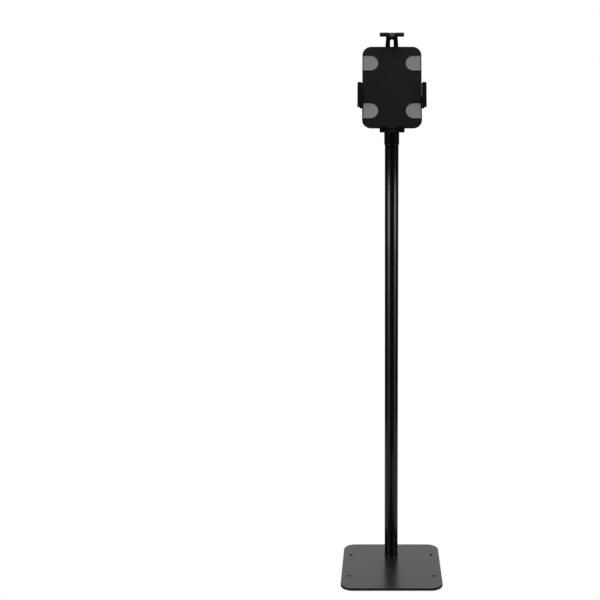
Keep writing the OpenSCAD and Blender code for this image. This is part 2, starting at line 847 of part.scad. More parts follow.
// Right side arm: slotted strip, bend, tall web and lip, with its lower outer corner cut
module side_arm() {
    strip_top = side_bottom + side_strip_h;
    tip = side_reach;
    difference() {
        union() {
            translate([side_strip_end, side_bottom, side_back])
                cube([tip - bend_out - side_strip_end, side_strip_h, arm_t]);
            along(side_bottom, strip_top) translate([0, tip]) root_bend(side_back);
            along(side_bottom, side_bottom + side_hook_h)
                translate([0, tip]) hook_band(side_back, side_lip_w, 0, arm_t);
        }
        translate([0, -side_drop, side_back - over]) linear_extrude(arm_t + 2 * over)
            slot_outline(side_slot_in, side_slot_out, slot_w);
        translate([side_strip_end + slot_end_wall, -side_drop + groove_rise, side_front - groove_deep])
            cube([side_slot_out - side_slot_in, groove_w, groove_deep + over]);
        translate([0, 0, side_back - over]) linear_extrude(over - side_back + cut_front)
            polygon([[tip - side_chamfer - over, side_bottom - over], [tip + over, side_bottom - over],
                [tip + over, side_bottom + side_chamfer + over]]);
    }
}

// Rubber liner inside a side hook, on its web and lip
module side_liner() {
    along(side_bottom + liner_end, side_bottom + side_hook_h - liner_end)
        translate([0, side_reach]) intersection() {
            hook_band(side_back, side_lip_w - liner_end, -grip_t, -seat);
            translate([pad_t, -side_lip_w]) square([lip_front, side_lip_w]);
        }
}

module right_arm() {
    color("#1d1d1e") in_holder() side_arm();
}

module left_arm() {
    color("#1d1d1e") in_holder() mirror([1, 0, 0]) side_arm();
}

module right_liner() {
    color("#121212") in_holder() side_liner();
}

module left_liner() {
    color("#121212") in_holder() mirror([1, 0, 0]) side_liner();
}

base_plate();
rubber_feet();
weld_bead();
pole();
pole_bottom_plug();
base_bolt();
pole_top_plug();
head_sleeve();
sleeve_set_screws();
tilt_yoke();
yoke_bolt();
tilt_bolt();
tilt_nut();
tilt_washers();
tilt_knuckle();
swivel_stud();
swivel_ring();
swivel_washer();
swivel_nut();
swivel_bush();
holder_plate();
grip_pad(-1, 1);  // pad_upper_left
grip_pad(1, 1);  // pad_upper_right
grip_pad(-1, -1);  // pad_lower_left
grip_pad(1, -1);  // pad_lower_right
rear_housing();
housing_posts();
housing_screws();
guide_studs();
stud_nuts();
side_rails();
clamp_plate();
lock_barrel();
lock_ring_nut();
lock_plug();
lock_cam();
cam_screw();
top_arm();
top_grip(-1);  // top_grip_left
top_grip(1);  // top_grip_right
bottom_arm();
bottom_grip(-1);  // bottom_grip_left
bottom_grip(1);  // bottom_grip_right
left_arm();
left_liner();
right_arm();
right_liner();
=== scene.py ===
"""Adjustable tablet floor stand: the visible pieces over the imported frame, their finishes, and the studio.

The stand's lengths are millimetres until a mesh is made, where SCALE turns them into metres; the camera, the
floor and the lamps are placed in metres. The stand's front faces -Y and the floor is z = 0. A piece of the
holder is worked out in the holder's own coordinates, x across, y up its plate and z out of its front, and
then placed by in_holder."""

import json
import math

import bmesh
import bpy
import numpy as np
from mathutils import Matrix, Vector
from mathutils.geometry import delaunay_2d_cdt


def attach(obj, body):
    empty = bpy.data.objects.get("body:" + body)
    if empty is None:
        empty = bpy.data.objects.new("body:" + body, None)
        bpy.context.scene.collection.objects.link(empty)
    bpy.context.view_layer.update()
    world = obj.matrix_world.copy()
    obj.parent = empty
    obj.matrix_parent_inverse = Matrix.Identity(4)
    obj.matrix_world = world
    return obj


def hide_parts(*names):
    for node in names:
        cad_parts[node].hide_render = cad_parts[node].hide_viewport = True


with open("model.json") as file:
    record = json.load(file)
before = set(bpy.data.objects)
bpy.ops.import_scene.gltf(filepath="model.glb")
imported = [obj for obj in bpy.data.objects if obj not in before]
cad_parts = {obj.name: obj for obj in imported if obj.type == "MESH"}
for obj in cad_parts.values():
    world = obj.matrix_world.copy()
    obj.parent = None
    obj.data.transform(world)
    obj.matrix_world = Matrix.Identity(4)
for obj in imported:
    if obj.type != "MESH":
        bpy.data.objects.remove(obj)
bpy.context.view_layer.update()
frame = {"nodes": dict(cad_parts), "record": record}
scene = bpy.context.scene
nodes = frame["nodes"]

SCALE = 0.001
TAU = 2 * math.pi

# sizes of the real stand

BASE_W, BASE_CORNER, BASE_LOW, BASE_TOP = 236.0, 28.0, 1.5, 7.5
ANCHOR_X, ANCHOR_R, FOOT_X = 99.0, 4.0, 88.0
POLE_Y, POLE_R, POLE_BORE, POLE_TOP = 56.0, 16.0, 14.5, 1065.5
SLEEVE_BORE, SLEEVE_R, SLEEVE_FOOT = 16.05, 17.45, 1007.5
HINGE = np.array([0.0, POLE_Y, 1112.8])
TILT, REACH = math.radians(22), 55.0
PLATE_W, PLATE_H, PLATE_T, PLATE_CORNER = 132.0, 195.5, 2.0, 20.0
PAD_X, PAD_Y, PAD_LEN, PAD_R = 63.6, 57.05, 33.0, 17.5
HOUSE_W, HOUSE_H, HOUSE_R, WALL = 118.0, 181.5, 18.0, 1.6
HOUSING_BACK, HOUSING_FLOOR = -20.0, -18.0
LOCK_Y = -45.0
SHEET_T, BEND_R, LIP_Z = 2.0, 1.5, 12.0
M8_HOLE, M10_HOLE = 4.05, 5.05
SIDES = ((-1, "left"), (1, "right"))

# limits of the mesh code: a point on a line, a cut near a corner, a triangle without height, a merge in
# metres, and how far a full round stays short of half its width, so that no side is left without length

ON_LINE = 1e-6
AT_CORNER = 1e-4
FLAT_TRIANGLE = 4e-5
MERGED = 2e-6
SHORT = 0.01


# camera, before anything else

camera = bpy.data.objects.new("camera", bpy.data.cameras.new("camera"))
scene.collection.objects.link(camera)
camera.location = (-0.018283, -2.044873, 0.989316)
camera.rotation_euler = (math.radians(80.7336), 0, 0)
camera.data.sensor_width = 36
camera.data.lens = 54.1129
camera.data.shift_x = -0.139552
scene.camera = camera
scene.view_settings.view_transform = "Standard"


# shapes on grids

def unit(v):
    """Each row of v divided by its length."""
    return v / np.linalg.norm(v, axis=-1, keepdims=True)


def grid(points):
    """Quads over an array of points (u, v, k), its last row joined to the first."""
    nu, nv = points.shape[:2]
    u, v = np.meshgrid(np.arange(nu), np.arange(nv - 1), indexing="ij")
    u2, v2 = (u + 1) % nu, v + 1
    faces = np.stack([u * nv + v, u2 * nv + v, u2 * nv + v2, u * nv + v2], -1)
    return points.reshape(nu * nv, -1), faces.reshape(-1, 4)


def outline(corners, radii, steps=8):
    """Closed line with an arc at each corner. The solid lies to the left of the direction of travel, so an
    outline runs anticlockwise and a hole clockwise. An arc's centre lies on the corner's bisector, r / sin of
    the half angle away, and the outward normal turns evenly from one side's to the next's. Returns the points
    and their normals."""
    p = np.asarray(corners, float)
    r = np.broadcast_to(np.asarray(radii, float), len(p))
    back, ahead = unit(np.roll(p, 1, 0) - p), unit(np.roll(p, -1, 0) - p)
    turn = np.arctan2(ahead[:, 1] * -back[:, 0] + ahead[:, 0] * back[:, 1], -(back * ahead).sum(1))
    half = (np.pi - np.abs(turn)) / 2
    centre = p + unit(back + ahead) * (r / np.sin(half))[:, None]
    start = np.arctan2(back[:, 0], -back[:, 1])
    angle = start[:, None] + turn[:, None] * np.linspace(0, 1, steps + 1)
    normal = np.stack([np.cos(angle), np.sin(angle)], -1)
    points = centre[:, None] + (np.sign(turn) * r)[:, None, None] * normal
    return points.reshape(-1, 2), normal.reshape(-1, 2)


def rectangle(x0, x1, y0, y1, r, steps=8, hole=False):
    """Outline of a rectangle with round corners."""
    corners = [(x0, y0), (x1, y0), (x1, y1), (x0, y1)]
    return outline(corners[::-1] if hole else corners, r, steps)


def circle(x, y, r, steps=48, hole=True):
    """Round outline: points at r from the centre; for a hole the solid's outward normal points inwards."""
    a = np.arange(steps) / steps * TAU * (-1 if hole else 1)
    ray = np.stack([np.cos(a), np.sin(a)], -1)
    return ray * r + (x, y), -ray if hole else ray


def cut_at(loop, values, axis):
    """The same closed line with extra points where it crosses the given coordinates along one axis, each put
    in by linear interpolation between its neighbours."""
    points, normals = loop
    step = np.roll(points, -1, 0) - points
    with np.errstate(divide="ignore", invalid="ignore"):
        t = (np.asarray(values, float)[None] - points[:, axis, None]) / step[:, axis, None]
    i, k = np.nonzero((t > AT_CORNER) & (t < 1 - AT_CORNER))
    share = t[i, k][:, None]
    extra = points[i] + share * step[i]
    extra[:, axis] = np.asarray(values, float)[k]
    between = unit(normals[i] * (1 - share) + np.roll(normals, -1, 0)[i] * share)
    order = np.argsort(np.concatenate([np.arange(len(points)), i + share[:, 0]]), kind="stable")
    return np.concatenate([points, extra])[order], np.concatenate([normals, between])[order]


def inside(points, loops):
    """Even-odd test: a point is in the solid when a ray from it crosses the loops an odd number of times."""
    odd = np.zeros(len(points), bool)
    for a in loops:
        b = np.roll(a, -1, 0)
        above = (a[None, :, 1] > points[:, None, 1]) != (b[None, :, 1] > points[:, None, 1])
        with np.errstate(divide="ignore", invalid="ignore"):
            x = a[:, 0] + (points[:, None, 1] - a[:, 1]) * (b[:, 0] - a[:, 0]) / (b[:, 1] - a[:, 1])
        odd ^= (above & (points[:, None, 0] < x)).sum(1) % 2 == 1
    return odd


def facing(loops, lines, axis):
    """Pairs of outline points that face each other on straight lines over the shape, line by line."""
    points = np.concatenate([p for p, _ in loops])
    pairs = [np.zeros((0, 2), int)]
    for line in lines:
        on = np.flatnonzero(np.abs(points[:, axis] - line) < ON_LINE)
        on = on[np.argsort(points[on, 1 - axis])]
        pairs.append(np.stack([on[:-1], on[1:]], 1))
    return np.concatenate(pairs)


def fill(loops, height, pairs=()):
    """Flat face between an outline and its holes: constrained triangles, those in the solid kept. pairs are
    point numbers to join by an edge too. A triangle lower than FLAT_TRIANGLE lies along a straight side,
    where the triangulation's rounding made it, and is dropped."""
    points = np.concatenate(loops)
    ends = np.cumsum([len(a) for a in loops])
    edges = [np.array(pairs, int).reshape(-1, 2)]
    for first, last in zip([0, *ends[:-1]], ends):
        run = np.arange(first, last)
        edges.append(np.stack([run, np.roll(run, -1)], 1))
    found = delaunay_2d_cdt(points.tolist(), np.concatenate(edges).tolist(), [], 0, 1e-7)
    flat, faces = np.array(found[0]), np.array(found[2])
    corner = flat[faces]
    side = np.roll(corner, -1, 1) - corner
    double_area = np.abs(side[:, 0, 0] * side[:, 1, 1] - side[:, 0, 1] * side[:, 1, 0])
    low = double_area < FLAT_TRIANGLE * np.linalg.norm(side, axis=-1).max(1)
    faces = faces[inside(corner.mean(1), loops) & ~low]
    return np.column_stack([flat, np.full(len(flat), height)]), faces


def edge_profile(low, high, r_low, r_high, steps=4):
    """Side of a slab as (inset, height) pairs from its high face to its low one, a quarter round at each."""
    a = np.linspace(0, np.pi / 2, steps + 1)
    up = np.stack([r_high * (1 - np.sin(a)), high - r_high * (1 - np.cos(a))], 1)
    down = np.stack([r_low * (1 - np.cos(a)), low + r_low * (1 - np.sin(a))], 1)
    return np.concatenate([up, down])


def slab(loops, profiles, lines=(), axis=1):
    """Flat solid: each loop's wall is its profile carried along it, every point moved in by the profile's
    inset against the loop's normal, and its two faces are filled, with edges along the lines at which it will
    be bent. profiles is one for all loops, or one for each."""
    if not isinstance(profiles, list):
        profiles = [profiles] * len(loops)
    parts = []
    for (points, normals), profile in zip(loops, profiles):
        wall = points[:, None] - profile[None, :, :1] * normals[:, None]
        height = np.broadcast_to(profile[None, :, 1:], wall.shape[:2] + (1,))
        parts.append(grid(np.concatenate([wall, height], 2)))
    for end in (0, -1):
        rims = [p - profile[end, 0] * n for (p, n), profile in zip(loops, profiles)]
        parts.append(fill(rims, profiles[0][end, 1], facing(loops, lines, axis)))
    return parts


def turned(profile, steps=96, shape=None):
    """Solid of revolution about z: (radius, z) pairs turned through a whole circle. shape(angle, k) may give
    a factor on the radius for each angle and each point of the profile."""
    p = np.asarray(profile, float)
    a = np.arange(steps) / steps * TAU
    r = np.broadcast_to(p[None, :, 0], (steps, len(p)))
    if shape is not None:
        r = r * shape(a[:, None], np.arange(len(p))[None])
    return [grid(np.stack([r * np.cos(a)[:, None], r * np.sin(a)[:, None],
                           np.broadcast_to(p[:, 1], r.shape)], -1))]


def soften(profile, radii, steps=4):
    """An open (radius, z) line with an arc at each inner point; its two ends stay."""
    p = np.asarray(profile, float)
    r = np.broadcast_to(np.asarray(radii, float), len(p))
    back, ahead = unit(p[:-2] - p[1:-1]), unit(p[2:] - p[1:-1])
    half = np.arccos(np.clip((back * ahead).sum(1), -1, 1)) / 2
    reach = r[1:-1] / np.tan(half)
    a, b = p[1:-1] + back * reach[:, None], p[1:-1] + ahead * reach[:, None]
    t = np.linspace(0, 1, steps + 1)[None, :, None]
    bend = (1 - t) ** 2 * a[:, None] + 2 * t * (1 - t) * p[1:-1, None] + t ** 2 * b[:, None]
    return np.concatenate([p[:1], bend.reshape(-1, 2), p[-1:]])


def hexagon(angle):
    """Distance of a hexagon's side from its centre over its smallest one, at each angle."""
    return 1 / np.cos((angle + np.pi / 6) % (np.pi / 3) - np.pi / 6)


class Bends:
    """Middle line of a bent sheet in its side view: straight runs and arcs, as (length, turn). at(s, h) gives
    the points at distance s along it and h to its left; the heading turns evenly along an arc."""

    def __init__(self, start, heading, runs):
        self.start, self.turn = [np.array(start, float)], []
        self.s, self.heading = [0.0], [heading]
        for length, turn in runs:
            k = turn / length
            a = self.heading[-1]
            step = (length * math.cos(a), length * math.sin(a))
            if turn:
                step = ((math.sin(a + turn) - math.sin(a)) / k, (math.cos(a) - math.cos(a + turn)) / k)
            self.start.append(self.start[-1] + step)
            self.turn.append(k)
            self.s.append(self.s[-1] + length)
            self.heading.append(a + turn)

    def at(self, s, h):
        run = np.clip(np.searchsorted(self.s, s, "right") - 1, 0, len(self.turn) - 1)
        a, k = np.array(self.heading)[run], np.array(self.turn)[run]
        ds = s - np.array(self.s)[run]
        safe = np.where(k == 0, 1, k)
        along = np.where(k == 0, ds * np.cos(a), (np.sin(a + k * ds) - np.sin(a)) / safe)
        aside = np.where(k == 0, ds * np.sin(a), (np.cos(a) - np.cos(a + k * ds)) / safe)
        p = np.array(self.start)[run]
        b = a + k * ds
        return p[:, 0] + along - h * np.sin(b), p[:, 1] + aside + h * np.cos(b)

    def folds(self, steps=8):
        """Distances along the line at which a sheet needs points: the arcs, in even steps."""
        return np.concatenate([np.linspace(self.s[i], self.s[i + 1], steps + 1)
                               for i, k in enumerate(self.turn) if k])


def bent(path, loops, profile, axis, lay):
    """A slab carried along a path: its pattern's coordinate on that axis is the distance along the path and
    its height the distance to the path's left. lay(a, b, c) puts side view a, b and the other coordinate c in
    place."""
    folds = path.folds()
    parts = slab([cut_at(loop, folds, axis) for loop in loops], profile, folds, axis)
    out = []
    for points, faces in parts:
        a, b = path.at(points[:, axis], points[:, 2])
        out.append((lay(a, b, points[:, 1 - axis]), faces))
    return out


# places

def placed(parts, where):
    """The parts with their points moved by where(points)."""
    return [(where(points), faces) for points, faces in parts]


def shifted(x, y, z):
    """A move by x, y and z."""
    return lambda p: p + (x, y, z)


def in_holder(p):
    """Holder coordinates to the stand's: x across, y along the plate, z out of its front, which lies REACH
    from the tilt axis."""
    n = np.array([0, -math.cos(TILT), math.sin(TILT)])
    up = np.array([0, math.sin(TILT), math.cos(TILT)])
    return HINGE + p[:, :1] * (1, 0, 0) + p[:, 1:2] * up + (REACH + p[:, 2:3]) * n


def on_hinge(p):
    """A shape turned about z laid along the tilt axis, its z towards +X."""
    return HINGE + np.stack([p[:, 2], -p[:, 0], p[:, 1]], 1)


def to_back(z):
    """A shape turned about z pointing out of the stand's back at height z, from the pole's axis."""
    return lambda p: np.stack([p[:, 0], POLE_Y + p[:, 2], z - p[:, 1]], 1)


def flipped(parts, x):
    """Mirror images of the parts where x is -1; the normals are recalculated when the mesh is made."""
    return [(points * (x, 1, 1), faces) for points, faces in parts]


def piece(name, parts, body, finish, replaces, sharp=40):
    """One mesh object from its parts: doubles merged, faces turned outwards, shaded smooth up to the sharp
    angle in degrees, with normals weighted by the area of the faces."""
    points = np.concatenate([p for p, _ in parts]) * SCALE
    starts = np.cumsum([0] + [len(p) for p, _ in parts])[:-1]
    corners = np.concatenate([(faces + start).ravel() for (_, faces), start in zip(parts, starts)])
    sides = np.concatenate([np.full(len(faces), faces.shape[1]) for _, faces in parts])
    mesh = bpy.data.meshes.new(name)
    mesh.vertices.add(len(points))
    mesh.vertices.foreach_set("co", points.ravel())
    mesh.loops.add(len(corners))
    mesh.loops.foreach_set("vertex_index", corners)
    mesh.polygons.add(len(sides))
    mesh.polygons.foreach_set("loop_start", np.cumsum(sides) - sides)
    mesh.update(calc_edges=True)
    work = bmesh.new()
    work.from_mesh(mesh)
    bmesh.ops.remove_doubles(work, verts=work.verts, dist=MERGED)
    bmesh.ops.dissolve_degenerate(work, edges=work.edges, dist=1e-7)
    bmesh.ops.recalc_face_normals(work, faces=work.faces)
    work.to_mesh(mesh)
    work.free()
    mesh.shade_smooth()
    mesh.set_sharp_from_angle(angle=math.radians(sharp))
    thing = bpy.data.objects.new(name, mesh)
    scene.collection.objects.link(thing)
    weighted = thing.modifiers.new("weighted", "WEIGHTED_NORMAL")
    weighted.keep_sharp = True
    mesh.materials.append(finish)
    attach(thing, body)
    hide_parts(*replaces)


# finishes

class Value:
    """A number socket that takes part in sums; each sign adds its Math node."""

    def __init__(self, nodes, socket):
        self.nodes, self.socket = nodes, socket

    def _maths(self, kind, *values):
        return self.nodes.number("ShaderNodeMath", {"operation": kind}, dict(enumerate(values)))

    def __add__(self, other):
        return self._maths("ADD", self, other)

    def __sub__(self, other):
        return self._maths("SUBTRACT", self, other)

    def __rsub__(self, other):
        return self._maths("SUBTRACT", other, self)

    def __mul__(self, other):
        return self._maths("MULTIPLY", self, other)

    def __lt__(self, other):
        return self._maths("LESS_THAN", self, other)

    def __abs__(self):
        return self._maths("ABSOLUTE", self)

    def or_more(self, other):
        """The larger of the two."""
        return self._maths("MAXIMUM", self, other)

    __radd__, __rmul__ = __add__, __mul__


class Nodes:
    """A node tree with the makers of its nodes."""

    def __init__(self, tree):
        self.tree = tree

    def node(self, kind, settings={}, inputs={}, out=0):
        """A node of that kind with its settings, and its inputs set or linked; returns one of its sockets."""
        made = self.tree.nodes.new(kind)
        for key, value in settings.items():
            setattr(made, key, value)
        for key, value in inputs.items():
            self.put(made.inputs[key], value)
        return made.outputs[out] if made.outputs else None

    def number(self, kind, settings={}, inputs={}, out=0):
        """The same, for a socket that takes part in sums."""
        return Value(self, self.node(kind, settings, inputs, out))

    def put(self, socket, value):
        """Links a socket, or a Value's socket, to this one, or sets it to a number or colour."""
        value = value.socket if isinstance(value, Value) else value
        if isinstance(value, bpy.types.NodeSocket):
            self.tree.links.new(value, socket)
        else:
            socket.default_value = value

    def ramp(self, value, low, high, kind="SMOOTHSTEP"):
        """0 at low, 1 at high, smooth or linear between them; low may be the larger."""
        return self.number("ShaderNodeMapRange", {"interpolation_type": kind}, {
            "Value": value, "From Min": low, "From Max": high}, out="Result")

    def parts(self, vector):
        """A vector's x, y and z."""
        return [self.number("ShaderNodeSeparateXYZ", {}, {0: vector}, out=axis) for axis in "XYZ"]

    def ray(self, kind):
        """1 for rays of that kind, 0 for others."""
        return self.number("ShaderNodeLightPath", out=f"Is {kind} Ray")

    def mix(self, share, a, b):
        """Shader a where share is 0, b where it is 1."""
        return self.node("ShaderNodeMixShader", {}, {0: share, 1: a, 2: b})


class Paint(Nodes):
    """One material with a Principled shader; its patterns read object coordinates, their sizes in mm."""

    def __init__(self, name, **fixed):
        self.material = bpy.data.materials.new(name)
        self.material.use_nodes = True
        super().__init__(self.material.node_tree)
        self.shader = self.tree.nodes["Principled BSDF"]
        self.place = self.node("ShaderNodeTexCoord", out="Object")
        self.finish(**fixed)

    def noise(self, size, detail=2.0, roughness=0.5, stretch=(1, 1, 1)):
        """Noise whose lumps are about that size across, from 0 to 1."""
        at = self.node("ShaderNodeMapping", {}, {"Vector": self.place, "Scale": stretch})
        return self.number("ShaderNodeTexNoise", {}, {
            "Vector": at, "Scale": 1 / (size * SCALE), "Detail": detail, "Roughness": roughness})

    def cells(self, size):
        """Distance to the nearest of scattered points about that size apart."""
        return self.number("ShaderNodeTexVoronoi", {}, {
            "Vector": self.place, "Scale": 1 / (size * SCALE)}, out="Distance")

    def from_anchor(self):
        """Distance in metres from the nearer anchor hole's axis: x is folded at the middle and z left out."""
        folded = self.node("ShaderNodeVectorMath", {"operation": "ABSOLUTE"}, {0: self.place})
        level = self.node("ShaderNodeVectorMath", {"operation": "MULTIPLY"}, {0: folded, 1: (1, 1, 0)})
        return self.number("ShaderNodeVectorMath", {"operation": "DISTANCE"}, {
            0: level, 1: (ANCHOR_X * SCALE, POLE_Y * SCALE, 0)}, out="Value")

    def blend(self, share, a, b):
        """Colour a where share is 0, b where it is 1."""
        return self.node("ShaderNodeMix", {"data_type": "RGBA"}, {0: share, 6: a, 7: b}, out=2)

    def bumps(self, *layers):
        """Bump nodes one on another, each (height, depth, strength), into the shader's normal."""
        normal = None
        for height, depth, strength in layers:
            inputs = {"Height": height, "Distance": depth * SCALE, "Strength": strength}
            if normal is not None:
                inputs["Normal"] = normal
            normal = self.node("ShaderNodeBump", {}, inputs, out="Normal")
        self.finish(Normal=normal)

    def finish(self, **inputs):
        """The shader's inputs, set or linked; returns the material."""
        for socket, value in inputs.items():
            self.put(self.shader.inputs[socket.replace("_", " ")], value)
        return self.material


def grey(v, warm=0.0):
    """Grey of that lightness, redder and less blue by the share warm."""
    return (v * (1 + warm), v, v * (1 - warm), 1)


def powder_coat(name, tone, gloss, peel, peel_depth, grain_depth, uneven=0.1, shade_anchor_holes=False):
    """Baked black powder: close grain, slow waves of orange peel, faint clouds of tone, and dust lodged in
    the grain. Where asked, the anchor holes' walls are painted near-black, metallic and rougher: painted
    shade that stands in for the shade down the holes."""
    p = Paint(name)
    grain, wave, cloud = p.noise(0.5, 3, 0.6), p.noise(peel, 2), p.noise(55, 3)
    dust = p.ramp(p.noise(2.2, 4, 0.7), 0.62, 0.8)
    colour = p.blend(cloud, grey(tone * 0.85), grey(tone * 1.2))
    colour = p.blend(dust * 0.35, colour, grey(tone * 2.2, 0.03))
    rough = gloss + (cloud - 0.5) * (0.8 * uneven) + (grain - 0.5) * uneven
    p.bumps((wave, peel_depth, 0.6), (grain, grain_depth, 0.35))
    if not shade_anchor_holes:
        return p.finish(Base_Color=colour, Roughness=rough)
    # painted shade: the anchor holes' walls are made near-black, metallic and rougher, standing in for the
    # shade inside the holes
    painted_hole_shade = 1 - p.ramp(p.from_anchor(), (ANCHOR_R + 0.15) * SCALE, (ANCHOR_R + 0.45) * SCALE)
    colour = p.blend(painted_hole_shade, colour, grey(0.002))
    return p.finish(Base_Color=colour, Roughness=rough + painted_hole_shade * 0.3, Metallic=painted_hole_shade)


def rubber(name, tone, rough, grain_size, level=0.35):
    """Moulded rubber or silicone: matt skin with a fine leathered grain and lighter bloom in patches."""
    p = Paint(name, Specular_IOR_Level=level)
    grain, bloom = p.cells(grain_size), p.noise(14, 4, 0.6)
    speck = p.ramp(p.noise(1.1, 2), 0.66, 0.74)
    colour = p.blend(bloom, grey(tone * 0.93), grey(tone * 1.08))
    colour = p.blend(speck * 0.25, colour, grey(tone * 0.6))
    p.bumps((grain, 0.04, 0.4), (p.noise(3.5), 0.05, 0.3))
    return p.finish(Base_Color=colour, Roughness=rough + (bloom - 0.5) * 0.14)


def bright_steel(name, tone, rough, brush=(1, 1, 12)):
    """Zinc or nickel plate: metal with fine drawn lines, slow clouds of blue-grey and dull specks."""
    p = Paint(name, Metallic=1.0)
    lines, cloud = p.noise(1.5, 3, 0.7, brush), p.noise(9, 3)
    dull = p.ramp(p.noise(0.9, 3, 0.7), 0.6, 0.72)
    colour = p.blend(cloud, (tone * 0.94, tone * 0.97, tone, 1), (tone, tone * 0.99, tone * 0.95, 1))
    colour = p.blend(dull * 0.4, colour, grey(tone * 0.6))
    p.bumps((lines, 0.01, 0.5))
    return p.finish(Base_Color=colour, Roughness=rough + (lines - 0.5) * 0.16 + dull * 0.15)


def black_oxide(name, tone):
    """Blackened steel: oily dark metal, browner where handled."""
    p = Paint(name, Metallic=0.55)
    cloud, lines = p.noise(4, 3), p.noise(0.7, 3)
    colour = p.blend(cloud, grey(tone), grey(tone * 1.8, 0.12))
    p.bumps((lines, 0.015, 0.5))
    return p.finish(Base_Color=colour, Roughness=0.42 + (cloud - 0.5) * 0.2)


def acetal(name):
    """Turned white plastic: soft sheen, faint turning lines."""
    p = Paint(name)
    cloud, lines = p.noise(12, 3), p.noise(0.8, 2)
    colour = p.blend(cloud, (0.68, 0.66, 0.6, 1), (0.76, 0.74, 0.68, 1))
    p.bumps((lines, 0.01, 0.4))
    return p.finish(Base_Color=colour, Roughness=0.4 + (lines - 0.5) * 0.15)


COAT = powder_coat("black_powder_coat", 0.0052, 0.4, peel=3.2, peel_depth=0.03, grain_depth=0.02)
# the base coat paints shade into the walls of its two anchor holes
BASE_COAT = powder_coat("base_powder_coat", 0.006, 0.27, peel=6.0, peel_depth=0.006, grain_depth=0.004,
                        shade_anchor_holes=True)
POLE_COAT = powder_coat("pole_gloss_coat", 0.002, 0.145, peel=9.0, peel_depth=0.002, grain_depth=0.0004,
                        uneven=0.04)
ARM_COAT = powder_coat("arm_powder_coat", 0.0015, 0.3, peel=2.6, peel_depth=0.006, grain_depth=0.002,
                       uneven=0.06)
SILICONE = rubber("grey_silicone", 0.205, 0.62, 0.7)
BLACK_RUBBER = rubber("black_rubber", 0.002, 0.5, 0.55)
# A darker, duller copy of the black rubber for the bottom grips only: painted shade, since those grips hang
# in shade under the plate with less light from above than the top grips.
SHADED_RUBBER = rubber("shaded_black_rubber", 0.0015, 0.75, 0.55, level=0.1)
ZINC = bright_steel("zinc_plate", 0.62, 0.34)
NICKEL = bright_steel("lock_nickel", 0.7, 0.16, (1, 12, 1))
OXIDE = black_oxide("black_oxide", 0.02)
ACETAL = acetal("white_acetal")

SLOT_FINISH = {
    "powder_coat": COAT, "pole_coat": POLE_COAT, "arm_coat": ARM_COAT, "grey_silicone": SILICONE,
    "black_rubber": BLACK_RUBBER, "zinc_steel": ZINC, "black_fastener": OXIDE, "lock_chrome": NICKEL,
    "white_acetal": ACETAL,
}
for part in frame["record"]["subparts"]:
    node = nodes[part["node"]]
    node.data.materials.clear()
    node.data.materials.append(SLOT_FINISH[part["material_slot"]])


# base and pole

half = BASE_W / 2
base_rim = edge_profile(BASE_LOW, BASE_TOP, 0.5, 1.1, 6)
anchor_edge = edge_profile(BASE_LOW, BASE_TOP, 0.3, 0.6)
sink = np.array([[0.0, BASE_TOP], [0.0, 6.0], [4.65, BASE_LOW]])
base = slab([rectangle(-half, half, -half, half, BASE_CORNER, 24), circle(-ANCHOR_X, POLE_Y, ANCHOR_R),
             circle(ANCHOR_X, POLE_Y, ANCHOR_R), circle(0, POLE_Y, M10_HOLE)],
            [base_rim, anchor_edge, anchor_edge, sink])
piece("base_plate_body", base, "stand", BASE_COAT, ["base_plate"])

foot = soften([(0, 0.25), (6.2, 0.25), (6.8, 0), (9.4, 0), (10, 0.5), (10, 1.5), (0, 1.5)],
              [0, 0.1, 0.2, 0.4, 0.3, 0.05, 0])
feet = []
for x in (-FOOT_X, FOOT_X):
    for y in (-FOOT_X, FOOT_X):
        feet += placed(turned(foot, 48), shifted(x, y, 0))
piece("feet", feet, "stand", BLACK_RUBBER, ["rubber_feet"])

BEAD_W, BEAD_H, BEAD_POINTS, BEAD_DROPS = 1.6, 2.4, 7, 52


def weld_ripples(angle, k):
    """The bead's stacked drops: the points of its round face swell and shrink by 0.4 % of their radius as
    often as there are drops, and a slow wave makes some drops longer than others."""
    wave = np.sin(BEAD_DROPS * angle + 1.4 * np.sin(3 * angle))
    return 1 + 0.004 * wave * ((k > 0) & (k < BEAD_POINTS))


a = np.linspace(0, np.pi / 2, BEAD_POINTS)
bead_face = np.stack([POLE_R + BEAD_W * np.cos(a), BASE_TOP + BEAD_H * np.sin(a) ** 0.9], 1)
bead_back = [(POLE_R - 0.2, BASE_TOP + BEAD_H), (POLE_R - 0.2, BASE_TOP), (POLE_R, BASE_TOP)]
bead = np.concatenate([[(POLE_R, BASE_TOP)], bead_face, bead_back])
weld = placed(turned(bead, 6 * BEAD_DROPS, weld_ripples), shifted(0, POLE_Y, 0))
piece("weld", weld, "stand", POLE_COAT, ["weld_bead"])

tube = [(POLE_R, BASE_TOP), (POLE_R, POLE_TOP), (POLE_BORE, POLE_TOP), (POLE_BORE, BASE_TOP),
        (POLE_R, BASE_TOP)]
pole = placed(turned(tube, 160), shifted(0, POLE_Y, 0))
piece("pole_tube", pole, "stand", POLE_COAT, ["pole"])


# head: sleeve, yoke, knuckle, bolts

def hexagonal(points, size=1.0):
    """A factor on the radius that makes the named points of a profile a hexagon's, size times as wide."""
    return lambda angle, k: np.where(np.isin(k, points), hexagon(angle) * size, 1.0)


